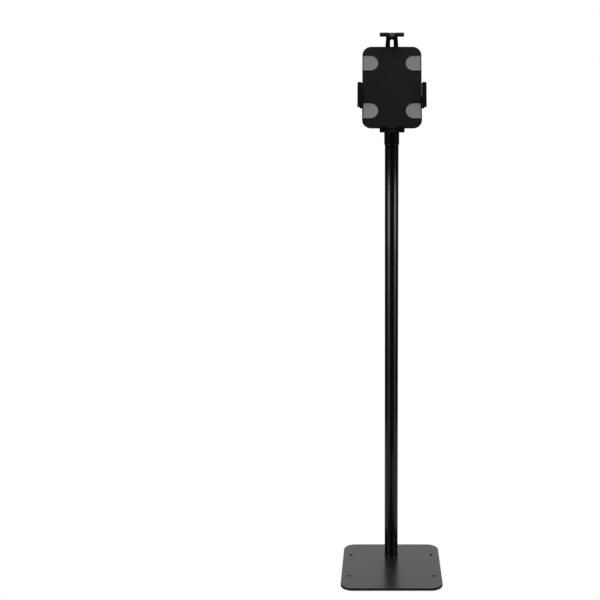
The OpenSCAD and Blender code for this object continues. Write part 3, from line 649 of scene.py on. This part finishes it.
collar = soften([(SLEEVE_BORE, SLEEVE_FOOT + 2), (SLEEVE_BORE, SLEEVE_FOOT), (SLEEVE_R, SLEEVE_FOOT),
                 (SLEEVE_R, POLE_TOP), (SLEEVE_BORE, POLE_TOP), (SLEEVE_BORE, SLEEVE_FOOT + 2)],
                [0, 0.3, 0.6, 0.6, 0.3, 0])
boss = soften([(2.55, 14.5), (2.55, 21.45), (5.5, 21.45), (5.5, 17), (7.0, 14.5), (2.55, 14.5)],
              [0, 0.3, 0.7, 1.5, 0, 0])
set_screw = soften([(0, 18.4), (1.44, 18.4), (1.44, 20.9), (2.5, 20.9), (2.5, 16.1), (0, 16.1)],
                   [0, 0.05, 0.1, 0.4, 0.1, 0])
sleeve = placed(turned(collar, 128), shifted(0, POLE_Y, 0))
set_screws = []
for z in (1021.5, 1051.5):
    sleeve += placed(turned(boss, 64), to_back(z))
    set_screws += placed(turned(set_screw, 48, hexagonal(range(1, 11), 0.9)), to_back(z))
piece("sleeve_body", sleeve, "stand", POLE_COAT, ["head_sleeve"])
piece("set_screws", set_screws, "stand", OXIDE, ["sleeve_set_screws"])

EAR_X, EAR_R, YOKE_T, YOKE_BEND = 13.0, 17.0, 5.0, 4.0
ear_run = HINGE[2] + EAR_R - (POLE_TOP + YOKE_T / 2) - YOKE_BEND
quarter = YOKE_BEND * np.pi / 2
floor_run = 2 * (EAR_X + YOKE_T / 2 - YOKE_BEND)
yoke_path = Bends((-EAR_X - YOKE_T / 2, HINGE[2] + EAR_R), -np.pi / 2,
                  [(ear_run, 0), (quarter, np.pi / 2), (floor_run, 0), (quarter, np.pi / 2), (ear_run, 0)])
length = yoke_path.s[-1]
yoke_strip = [rectangle(0, length, -EAR_R, EAR_R, EAR_R - SHORT, 24), circle(EAR_R, 0, M8_HOLE),
              circle(length - EAR_R, 0, M8_HOLE), circle(length / 2, 0, M8_HOLE)]
yoke = bent(yoke_path, yoke_strip, edge_profile(-YOKE_T / 2, YOKE_T / 2, 0.8, 0.8), 0,
            lambda a, b, c: np.stack([a, POLE_Y + c, b], 1))
piece("yoke_bracket", yoke, "stand", COAT, ["tilt_yoke"])

barrel = soften([(M8_HOLE, -11.7), (15, -11.7), (15, 11.7), (M8_HOLE, 11.7), (M8_HOLE, -11.7)],
                [0, 1.0, 1.0, 0, 0])
flange = soften([(M10_HOLE, -26.2), (30, -26.2), (30, -21.2), (M10_HOLE, -21.2), (M10_HOLE, -26.2)],
                [0, 1.4, 1.0, 0.3, 0])


def neck():
    """Forged neck from barrel to flange: a rounded box section of the fifth power whose half widths spread
    near the flange as the square of the distance, so that it runs out into it."""
    half_x, half_y, flare, flare_run, flange_back = 10, 11, 5.5, 10, -26.0
    w = np.linspace(-REACH + 6, flange_back, 25)
    spread = flare * np.clip((w - flange_back + flare_run) / flare_run, 0, 1) ** 2
    a = np.linspace(0, TAU, 97)[:-1]
    c, s = np.cos(a), np.sin(a)
    r = (np.abs(c) ** 5 + np.abs(s) ** 5) ** -0.2
    x, y = (r * c)[:, None] * (half_x + spread), (r * s)[:, None] * (half_y + spread)
    shell = grid(np.stack([x, y, np.broadcast_to(w, x.shape)], -1))
    ends = [fill([np.stack([x[:, k], y[:, k]], 1)], w[k]) for k in (0, -1)]
    return [shell, *ends]


knuckle = placed(turned(barrel, 96), on_hinge) + placed(turned(flange, 128) + neck(), in_holder)
piece("knuckle", knuckle, "tilt_head", COAT, ["tilt_knuckle"])

cap = [(0, 22), (3.0, 22), (3.0, 26), (6.0, 26), (6.5, 25.4), (6.5, 18.2), (6.3, 18), (4, 18), (4, -28),
       (3.2, -28.5), (0, -28.5)]
nut = [(M8_HOLE, -18), (6.0, -18), (6.5, -18.5), (6.5, -24.4), (6.0, -24.9), (5.4, -25.2), (5.0, -26),
       (M8_HOLE, -26), (M8_HOLE, -18)]
FINE_EDGE = 30


def cap_shape(angle, k):
    """The socket's points are hexagonal and the head's side is knurled with 48 teeth."""
    teeth = 1 - 0.018 * (0.5 + 0.5 * np.cos(48 * angle)) * np.isin(k, (4, 5))
    return hexagonal((1, 2))(angle, k) * teeth


def nut_shape(angle, k):
    """The nut's flanks are hexagonal, cut by a cone at both faces; its collar stays round."""
    flanks = np.minimum(hexagon(angle), 1.13)
    return np.where(np.isin(k, (2, 3)), flanks, np.where(np.isin(k, (1, 4)), 1.06, 1.0))


piece("tilt_screw", placed(turned(cap, 384, cap_shape), on_hinge), "stand", OXIDE,
      ["tilt_bolt"], FINE_EDGE)
piece("tilt_lock_nut", placed(turned(nut, 192, nut_shape), on_hinge), "stand", ZINC,
      ["tilt_nut"], FINE_EDGE)


# holder: plate, pads, housing, lock

ROLL_W, ROLL_H, TOP_RISE = 2.6, 1.85, 0.7
roll = np.linspace(0, np.pi / 2, 13)
rolled = np.stack([ROLL_W * (1 - np.sin(roll)), -ROLL_H * (1 - np.cos(roll))], 1)
rim_line, rim_out = rectangle(-PLATE_W / 2, PLATE_W / 2, -PLATE_H / 2, PLATE_H / 2 + TOP_RISE,
                              PLATE_CORNER, 20)
tighter_on_top = 1 - 0.6 * np.clip(rim_out[:, 1:], 0, 1) ** 2
plate = slab([(rim_line, rim_out * tighter_on_top)], np.concatenate([rolled, [(0.12, -PLATE_T)]]))
piece("plate", placed(plate, in_holder), "holder", COAT, ["holder_plate"])

pad_side = np.array([[1.9, 0.8], [1.75, 0.84], [1.55, 1.0], [1.3, 1.2], [0.65, 1.25], [0.3, 1.15],
                     [0.08, 0.96], [0, 0.75], [0, 0.0]])
for sx, side in SIDES:
    for sy, level in ((-1, "lower"), (1, "upper")):
        low, high = PAD_Y * sy - PAD_R, PAD_Y * sy + PAD_R
        loop = outline([(PAD_X - PAD_LEN, low), (PAD_X, low), (PAD_X, high), (PAD_X - PAD_LEN, high)],
                       [PAD_R - SHORT, 2, 2, PAD_R - SHORT], 24)
        pad = placed(flipped(slab([loop], pad_side), sx), in_holder)
        name = f"pad_{level}_{side}"
        piece(f"{name}_skin", pad, "holder", SILICONE, [name])

POSTS = [(x, y) for x in (-53.5, 53.5) for y in (-69.25, 69.25)]
POST_HOLE, SWIVEL_HOLE, LOCK_HOLE = 2.05, 6.55, 9.05
SIDE_NOTCH, TOP_NOTCH, LOW_NOTCH = (-49.9, -20.3), 23.9, 23.7
RIM, SIDE_RIM, END_RIM = -2.05, -4.4, -6.8


def tray():
    """Pressed housing: round a rectangle with round corners goes a profile that starts on the back, turns up
    the wall over a 3 mm radius, crosses the rim and comes down inside. The rim drops where an arm leaves, and
    two cuts close together at each side of the notch have the drop between them."""
    apart, fold, bevel = 0.01, 3.0, 0.25
    cuts_y = [v + d for v in SIDE_NOTCH for d in (-apart, apart)]
    cuts_x = [s * v + d for v in (TOP_NOTCH, LOW_NOTCH) for s in (-1, 1) for d in (-apart, apart)]
    loop = rectangle(-HOUSE_W / 2, HOUSE_W / 2, -HOUSE_H / 2, HOUSE_H / 2, HOUSE_R, 20)
    points, normals = cut_at(cut_at(loop, cuts_y, 1), cuts_x, 0)
    x, y = points.T
    side = (np.abs(x) > HOUSE_W / 2 - fold) & (y > SIDE_NOTCH[0]) & (y < SIDE_NOTCH[1])
    end = (np.abs(y) > HOUSE_H / 2 - fold) & (np.abs(x) < np.where(y > 0, TOP_NOTCH, LOW_NOTCH))
    rim = np.where(side, SIDE_RIM, np.where(end, END_RIM, RIM))
    a = np.linspace(0, np.pi / 2, 7)
    turn = np.broadcast_to(HOUSING_BACK + fold * (1 - np.cos(a)), (len(x), 7))
    floor = np.full(len(x), HOUSING_FLOOR)
    height = np.column_stack([turn, rim - bevel, rim, rim, rim - bevel, floor + 1, floor])
    inset = np.concatenate([fold * (1 - np.sin(a)), [0, bevel, WALL - bevel, WALL, WALL, WALL]])
    wall = points[:, None] - inset[None, :, None] * normals[:, None]
    parts = [grid(np.concatenate([wall, height[..., None]], 2))]
    holes = [circle(0, 0, SWIVEL_HOLE), circle(0, LOCK_Y, LOCK_HOLE)]
    holes += [circle(x, y, POST_HOLE, 24) for x, y in POSTS]
    lip = edge_profile(HOUSING_BACK, HOUSING_FLOOR, 0.25, 0.1, 2)
    for p, n in holes:
        ring = p[:, None] - lip[None, :, :1] * n[:, None]
        height = np.broadcast_to(lip[None, :, 1:], ring.shape[:2] + (1,))
        parts.append(grid(np.concatenate([ring, height], 2)))
    parts.append(fill([wall[:, 0]] + [p - lip[-1, 0] * n for p, n in holes], HOUSING_BACK))
    parts.append(fill([wall[:, -1]] + [p - lip[0, 0] * n for p, n in holes], HOUSING_FLOOR))
    return parts


piece("housing_shell", placed(tray(), in_holder), "holder", COAT, ["rear_housing"])

pan = [(0, -20.7), (1.3, -20.7), (1.3, -21.45), (2.2, -21.5), (3.2, -21.2), (3.8, -20.6), (4.0, -20.0),
       (2, -20), (2, -10), (0, -10)]
screws = []
for x, y in POSTS:
    screws += placed(placed(turned(pan, 48, hexagonal((1, 2))), shifted(x, y, 0)), in_holder)
piece("housing_screw_set", screws, "holder", OXIDE, ["housing_screws"], FINE_EDGE)

bezel = soften([(6.55, -14.9), (6.55, -22.7), (6.9, -23), (9.2, -23), (11, -21.6), (11, -20), (9, -20),
                (9, -14.9), (6.55, -14.9)], [0, 0, 0.2, 0.5, 0.8, 0.1, 0.1, 0, 0])
bezel = placed(placed(turned(bezel, 96), shifted(0, LOCK_Y, 0)), in_holder)
piece("lock_bezel", bezel, "holder", NICKEL, ["lock_barrel"])
plug = slab([circle(0, 0, 6.5, 64, hole=False), rectangle(-0.7, 0.7, -4, 4, 0.3, 3, hole=True)],
            [edge_profile(-18.5, -23.4, 0, -0.4, 3), np.array([[0, -23.4], [0, -18.5]])])
plug += turned([(0, -18.6), (6.45, -18.6), (6.45, -13.5), (0, -13.5)], 64)
plug = placed(placed(plug, shifted(0, LOCK_Y, 0)), in_holder)
piece("lock_plug_face", plug, "lock_core", NICKEL, ["lock_plug"])


# sliding arms with their grips

QUARTER = (BEND_R + SHEET_T / 2) * np.pi / 2
STRIP = edge_profile(-SHEET_T / 2, SHEET_T / 2, 0.35, 0.35, 3)
SLOT_HALF, HOOK_HALF, GRIP_HALF = 3.75, 26.4, 27.4
TOP_TIP, TOP_LENGTH, LOW_TIP, LOW_LENGTH, SIDE_TIP = 126.55, 139.4, 105.55, 72.0, 76.4
END_LAYER, SIDE_LAYER = -5.6, -3.2
IN_SHEET = -0.9


def hook_path(start, layer, tip, lip):
    """Side view of an arm whose sheet's middle lies at the height layer: flat out to the bend, web out to the
    lip, lip back over the tablet's edge."""
    web = LIP_Z - BEND_R - SHEET_T - (layer - SHEET_T / 2 + BEND_R + SHEET_T)
    return Bends((start, layer), 0.0,
                 [(tip - BEND_R - SHEET_T - start, 0), (QUARTER, np.pi / 2), (web, 0), (QUARTER, np.pi / 2),
                  (lip - BEND_R - SHEET_T, 0)])


def along(sign):
    """Lays a side view up or down the holder's middle, with the other coordinate across it."""
    return lambda a, b, c: in_holder(np.stack([c, sign * a, b], 1))


def across(sign):
    """Lays a side view out to the holder's left or right, with the other coordinate up it."""
    return lambda a, b, c: in_holder(np.stack([sign * a, c, b], 1))


def end_arm(path, lay, length, strip_w, rib_w, rib_h):
    """Top or bottom arm: a slotted strip that widens towards its foot, a wide hook at its end, and a raised
    rib down the hook's middle."""
    flat, web, *_, end = path.s[1:]
    neck_x, foot_x = strip_w / 2, strip_w / 2 + 0.075 * length
    body = outline([(-foot_x, 0), (foot_x, 0), (neck_x, flat - 1), (neck_x, web), (HOOK_HALF, web),
                    (HOOK_HALF, end), (-HOOK_HALF, end), (-HOOK_HALF, web), (-neck_x, web),
                    (-neck_x, flat - 1)],
                   [3, 3, 1, 0.6, 2.2, 2.2, 2.2, 2.2, 0.6, 1], 6)
    slot = rectangle(-SLOT_HALF, SLOT_HALF, 4.5, length - 7.7, SLOT_HALF - SHORT, 12, hole=True)
    rib = outline([(-rib_w, web + 0.8), (rib_w, web + 0.8), (4.6, end - 0.8), (-4.6, end - 0.8)], 1.2, 5)
    return bent(path, [body, slot], STRIP, 1, lay) + bent(
        path, [rib], edge_profile(-rib_h, IN_SHEET, 0.5, 0.0, 4), 1, lay)


def thumb_ramp(path, lay):
    """Ramp in the middle of the top lip, for the finger that lifts the arm: a trapezoid on the lip's front
    whose height grows evenly from about a third under the bend to all of it at the lower edge."""
    first, last = path.s[4] - 0.6, path.s[5] + 3.4
    steps = np.linspace(first, last, 12)[1:-1]
    loop = outline([(-4.0, first), (4.0, first), (5.7, last), (-5.7, last)], [0.6, 0.6, 1.2, 1.2], 5)
    out = []
    for points, faces in slab([cut_at(loop, steps, 1)], edge_profile(-4.0, IN_SHEET, 0.4, 0.0, 4), steps):
        share = 0.36 + 0.64 * (points[:, 1] - first) / (last - first)
        a, b = path.at(points[:, 1], IN_SHEET + (points[:, 2] - IN_SHEET) * share)
        out.append((lay(a, b, points[:, 0]), faces))
    return out


def grip(path, lay, sign, near, far, thick):
    """Moulded rubber half: a thick slab with the sheet inside it, carried round the same bends. Its inner end
    runs from near, on the web, to far, at the lip's edge."""
    start, end = path.s[2], path.s[5] + 1
    points, normals = outline([(near, start), (GRIP_HALF, start), (GRIP_HALF, end), (far, end)],
                              [1.3, 1.3, 2.4, 1.4], 6)
    points, normals = points * (sign, 1), normals * (sign, 1)
    if sign < 0:
        points, normals = points[::-1], normals[::-1]
    return bent(path, [(points, normals)], edge_profile(-thick, 2, 1.1, 0.9, 5), 1, lay)


top_path = hook_path(TOP_TIP - TOP_LENGTH, END_LAYER, TOP_TIP, lip=8.4)
top_sheet = end_arm(top_path, along(1), TOP_LENGTH, strip_w=26.3, rib_w=4.9, rib_h=2.0)
piece("top_arm_sheet", top_sheet + thumb_ramp(top_path, along(1)), "top_slider", ARM_COAT,
      ["top_arm"])
for sign, side in SIDES:
    top_grip = grip(top_path, along(1), sign, near=5.2, far=6.2, thick=2.0)
    piece(f"top_grip_{side}_rubber", top_grip, "top_slider", BLACK_RUBBER,
          [f"top_grip_{side}"])

low_path = hook_path(LOW_TIP - LOW_LENGTH, END_LAYER, LOW_TIP, lip=6.0)
low_sheet = end_arm(low_path, along(-1), LOW_LENGTH, strip_w=36.0, rib_w=3.9, rib_h=1.8)
piece("bottom_arm_sheet", low_sheet, "bottom_slider", ARM_COAT, ["bottom_arm"])
for sign, side in SIDES:
    low_grip = grip(low_path, along(-1), sign, near=5.0, far=9.2, thick=2.5)
    # the bottom grips take the shaded copy of the black rubber: painted shade
    piece(f"bottom_grip_{side}_rubber", low_grip, "bottom_slider", SHADED_RUBBER,
          [f"bottom_grip_{side}"])

SIDE_LOW, STRIP_TOP, SIDE_HIGH = -49.6, -20.6, 6.5
side_path = hook_path(8.5, SIDE_LAYER, SIDE_TIP, lip=10.85)
flat, web, *_, end = side_path.s[1:]
notch = web + 2.7
side_loop = outline([(0, SIDE_LOW), (flat - 2.2, SIDE_LOW), (flat - 0.4, SIDE_LOW + 3.3),
                     (notch, SIDE_LOW + 3.3), (notch, SIDE_LOW), (end - 5.4, SIDE_LOW), (end, SIDE_LOW + 3.8),
                     (end, SIDE_HIGH - 3.0), (end - 2.4, SIDE_HIGH), (web, SIDE_HIGH), (web, STRIP_TOP),
                     (0, STRIP_TOP)],
                    [2, 0.8, 0.8, 0.4, 0.4, 0.8, 0.8, 1.4, 1.4, 1.6, 0.6, 2], 6)
side_slot = rectangle(4.5, 57.5, -38.85, -31.35, SLOT_HALF - SHORT, 12, hole=True)
liner_loop = outline([(web + 1.9, SIDE_LOW + 0.6), (end - 5.9, SIDE_LOW + 0.6), (end - 0.6, SIDE_LOW + 4.4),
                      (end - 0.6, SIDE_HIGH - 3.6), (end - 3.1, SIDE_HIGH - 0.6),
                      (web + 1.9, SIDE_HIGH - 0.6)],
                     [1, 0.8, 0.8, 1.2, 1.2, 1], 5)
for sign, side in SIDES:
    sheet = bent(side_path, [side_loop, side_slot], STRIP, 0, across(sign))
    piece(f"{side}_arm_sheet", sheet, f"{side}_slider", ARM_COAT, [f"{side}_arm"])
    soft = bent(side_path, [liner_loop], edge_profile(1.05, 2.0, 0.0, 0.5, 4), 0, across(sign))
    piece(f"{side}_liner_rubber", soft, f"{side}_slider", BLACK_RUBBER, [f"{side}_liner"])


# studio, in metres

FLOOR_R, FLOOR_BACK, FLOOR_Z = 1.1, 0.4, -0.0002
UNDER_X, UNDER_Y = 0.108, 0.09
WHITE_NEAR, NEAR, FAR = 0.84, 0.12, 0.34
RUNNER_X, RUNNER_END = 0.16, 0.1975
PALE, DARK, WHITE = (0.9, 0.9, 0.9, 1), (0.03, 0.03, 0.03, 1), (1, 1, 1, 1)
ROOM_BELOW, ROOM_ABOVE = 0.12, 0.97


def emptied(thing):
    """The node tree of a material or world, without its first nodes."""
    thing.use_nodes = True
    thing.node_tree.nodes.clear()
    return Nodes(thing.node_tree)


def floor_finish():
    """Pale matt floor that the camera sees as white, with a share of the real, shaded floor near the stand
    and none of the white under the base. Reflections show a dark runner under the stand, front to back."""
    material = bpy.data.materials.new("floor_pale")
    t = emptied(material)
    place = t.node("ShaderNodeTexCoord", out="Object")
    x, y = (abs(part) for part in t.parts(place)[:2])
    away = t.number("ShaderNodeVectorMath", {"operation": "LENGTH"}, {0: place}, out="Value")
    under_base = (x < UNDER_X) * (y < UNDER_Y)
    white = (WHITE_NEAR + (1 - WHITE_NEAR) * t.ramp(away, NEAR, FAR)) * (t.ray("Camera") - under_base)
    runner = (1 - 0.3 * t.ramp(x, RUNNER_X, RUNNER_END, "LINEAR")) * t.ray("Glossy")
    pale = t.node("ShaderNodeBsdfDiffuse", {}, {"Color": PALE})
    dark = t.node("ShaderNodeBsdfDiffuse", {}, {"Color": DARK})
    shown = t.mix(white, t.mix(runner, pale, dark), t.node("ShaderNodeEmission"))
    t.node("ShaderNodeOutputMaterial", {}, {"Surface": shown})
    return material


floor_mesh = bpy.data.meshes.new("floor")
ring = np.arange(64) / 64 * TAU
floor_mesh.from_pydata(np.column_stack([np.cos(ring) * FLOOR_R, np.sin(ring) * FLOOR_R + FLOOR_BACK,
                                        np.full(64, FLOOR_Z)]).tolist(), [], [list(range(64))])
floor = bpy.data.objects.new("floor", floor_mesh)
floor_mesh.materials.append(floor_finish())
scene.collection.objects.link(floor)


def softbox(name, place, aim, size, power):
    """Rectangular area lamp at a place, turned to face aim."""
    lamp = bpy.data.lights.new(name, "AREA")
    lamp.shape = "RECTANGLE"
    lamp.size, lamp.size_y = size
    lamp.energy = power
    thing = bpy.data.objects.new(name, lamp)
    thing.location = place
    thing.rotation_euler = (Vector(aim) - Vector(place)).to_track_quat("-Z", "Y").to_euler()
    scene.collection.objects.link(thing)


# Two tall softboxes beside the camera, each of four lamps one before the other that all reach up to LAMP_TOP,
# so that the light on the pole grows upwards: (name, low end, distance, share of the power).

LAMP_TOP = 0.88
LAMPS = (("tall", -0.3, 1.0, 2.6), ("middle", 0.25, 0.97, 0.9), ("upper", 0.46, 0.94, 1.1),
         ("bright", 0.64, 0.91, 1.6))
for side, x, y, power in (("left", -1.115, -0.95, 0.88), ("right", 1.31, -0.67, 0.68)):
    for part, low, near, share in LAMPS:
        z = (low + LAMP_TOP) / 2
        softbox(f"{part}_{side}", (x * near, y * near, z), (0, POLE_Y * SCALE, z), (1.0, LAMP_TOP - low),
                share * power)
softbox("overhead", (0, 0.5, 2.6), (0, 0.05, 0.6), (2.0, 1.6), 26)


def backdrop():
    """White to the camera and through glass, and in reflections only straight behind the stand, whose other
    reflections are of a dark room; it lights the stand with a soft white that is weaker from below."""
    world = bpy.data.worlds.new("studio")
    scene.world = world
    t = emptied(world)
    x, y, z = t.parts(t.node("ShaderNodeTexCoord", out="Generated"))
    glossy = t.ray("Glossy")
    behind = t.ramp(abs(x), 0.6, 0.5) * t.ramp(y, 0.1, 0.35)
    white = t.ray("Camera").or_more(glossy * behind).or_more(t.ray("Transmission"))
    below, above, seen = (t.node("ShaderNodeBackground", {}, {"Color": WHITE, "Strength": strength})
                          for strength in (ROOM_BELOW, ROOM_ABOVE, 1.0))
    dark = t.node("ShaderNodeBackground", {}, {"Color": DARK})
    room = t.mix(t.ramp(z, -0.3, 0.6), below, above)
    t.node("ShaderNodeOutputWorld", {}, {"Surface": t.mix(white, t.mix(glossy, room, dark), seen)})


backdrop()
